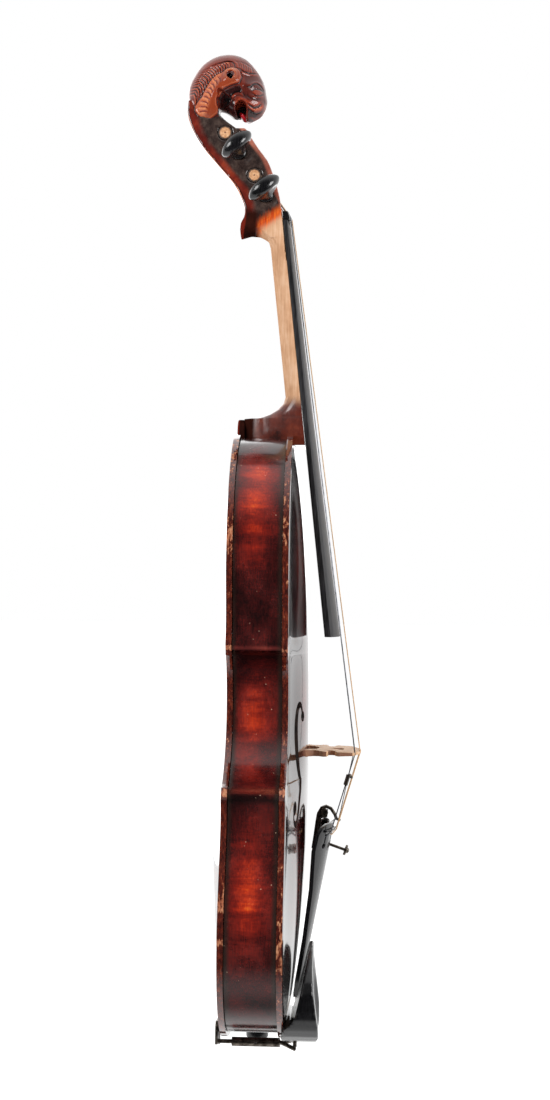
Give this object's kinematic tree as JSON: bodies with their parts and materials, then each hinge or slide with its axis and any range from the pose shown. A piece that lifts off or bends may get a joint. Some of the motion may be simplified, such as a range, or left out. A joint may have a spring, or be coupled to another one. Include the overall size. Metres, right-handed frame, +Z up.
{
  "type": "violin",
  "caption": "Full-size violin with a carved lion head, arched plates with f-holes, friction pegs, a clamped chinrest and a lever fine tuner, strung and hung by its neck.",
  "frame": {"origin": "back of the neck just under the pegbox, on the centre plane, where the neck hangs in a yoke", "axes": "+Z up the body towards the head, +X out of the belly, +Y towards the treble side (E string)"},
  "size_m": [0.111, 0.208, 0.6004],
  "materials": {
    "belly_varnish": "gloss",
    "back_varnish": "gloss",
    "rib_varnish": "gloss",
    "inner_spruce": "raw",
    "neck_maple": "gloss",
    "ebony": "polished",
    "fingerboard_ebony": "satin",
    "bridge_maple": "raw",
    "gut": "satin",
    "string_steel": "wound",
    "tailgut_cord": "satin",
    "boxwood": "satin",
    "nickel": "dull",
    "cork_pad": "raw"
  },
  "bodies": {
    "violin": {"top_plate": "belly_varnish", "back_plate": "back_varnish", "upper_rib_bass": "rib_varnish", "upper_rib_treble": "rib_varnish", "waist_rib_bass": "rib_varnish", "waist_rib_treble": "rib_varnish", "lower_rib_bass": "rib_varnish", "lower_rib_treble": "rib_varnish", "upper_block": "inner_spruce", "lower_block": "inner_spruce", "upper_corner_block_bass": "inner_spruce", "upper_corner_block_treble": "inner_spruce", "lower_corner_block_bass": "inner_spruce", "lower_corner_block_treble": "inner_spruce", "bass_bar": "inner_spruce", "sound_post": "inner_spruce", "neck": "neck_maple", "nut": "ebony", "saddle": "ebony", "end_button": "ebony", "tailpiece": "ebony", "tailpiece_fret": "ebony", "chinrest_plate": "ebony", "fingerboard": "fingerboard_ebony", "bridge": "bridge_maple", "string_d": "gut", "string_a": "gut", "string_g": "string_steel", "string_e": "string_steel", "tailgut": "tailgut_cord", "peg_bushing_g_collar": "boxwood", "peg_bushing_g_tip": "boxwood", "peg_bushing_d_collar": "boxwood", "peg_bushing_d_tip": "boxwood", "peg_bushing_a_collar": "boxwood", "peg_bushing_a_tip": "boxwood", "peg_bushing_e_collar": "boxwood", "peg_bushing_e_tip": "boxwood", "tuner_body": "nickel", "tuner_ring_nut": "nickel", "tuner_pivot_pin": "nickel", "chinrest_bracket": "nickel", "string_clip": "nickel", "chinrest_cork": "cork_pad"},
    "peg_g": {"peg_g": "ebony"},
    "peg_d": {"peg_d": "ebony"},
    "peg_a": {"peg_a": "ebony"},
    "peg_e": {"peg_e": "ebony"},
    "tuner_lever": {"tuner_lever": "nickel", "string_e_loop": "string_steel"},
    "tuner_screw": {"tuner_screw": "nickel"},
    "tuner_knob": {"tuner_knob": "nickel"},
    "chinrest_barrel_1": {"chinrest_barrel_1": "nickel"},
    "chinrest_barrel_2": {"chinrest_barrel_2": "nickel"},
    "chinrest_foot": {"chinrest_foot": "nickel", "chinrest_foot_cork": "cork_pad"}
  },
  "joints": [
    {"name": "peg_g_turn", "type": "hinge", "parent": "violin", "child": "peg_g", "pos_m": [-0.00099, 0, 0.0283], "axis": [0, -1, 0], "continuous": true},
    {"name": "peg_d_turn", "type": "hinge", "parent": "violin", "child": "peg_d", "pos_m": [-0.01783, 0, 0.05471], "axis": [0, -1, 0], "continuous": true},
    {"name": "peg_a_turn", "type": "hinge", "parent": "violin", "child": "peg_a", "pos_m": [-0.02621, 0, 0.06677], "axis": [0, 1, 0], "continuous": true},
    {"name": "peg_e_turn", "type": "hinge", "parent": "violin", "child": "peg_e", "pos_m": [-0.00801, 0, 0.0404], "axis": [0, 1, 0], "continuous": true},
    {"name": "tuner_screw_travel", "type": "slide", "parent": "violin", "child": "tuner_screw", "axis": [-0.9455, 0, 0.3256], "range_m": [0, 0.002]},
    {"name": "tuner_knob_turn", "type": "hinge", "parent": "tuner_screw", "child": "tuner_knob", "pos_m": [0.05244, 0.01425, -0.37092], "axis": [-0.9455, 0, 0.3256], "range_deg": [0, 1441]},
    {"name": "tuner_lever_tilt", "type": "hinge", "parent": "violin", "child": "tuner_lever", "pos_m": [0.0392, 0.01425, -0.3482], "axis": [0, 1, 0], "range_deg": [0, 6.7]},
    {"name": "chinrest_foot_travel", "type": "slide", "parent": "violin", "child": "chinrest_foot", "axis": [-1, 0, 0], "range_m": [0, 0.003]},
    {"name": "chinrest_barrel_1_turn", "type": "hinge", "parent": "violin", "child": "chinrest_barrel_1", "pos_m": [0.002, -0.0375, -0.47546], "axis": [1, 0, 0], "range_deg": [0, 1081]},
    {"name": "chinrest_barrel_2_turn", "type": "hinge", "parent": "violin", "child": "chinrest_barrel_2", "pos_m": [0.002, -0.0565, -0.47001], "axis": [1, 0, 0], "range_deg": [0, 1081]}
  ],
  "couplings": [
    {"joint": "tuner_knob_turn", "follows": "tuner_screw_travel", "rad_per_m": 12566},
    {"joint": "tuner_lever_tilt", "follows": "tuner_screw_travel", "rad_per_m": 57.86},
    {"joint": "chinrest_barrel_1_turn", "follows": "chinrest_foot_travel", "rad_per_m": 6283.2},
    {"joint": "chinrest_barrel_2_turn", "follows": "chinrest_foot_travel", "rad_per_m": 6283.2}
  ]
}
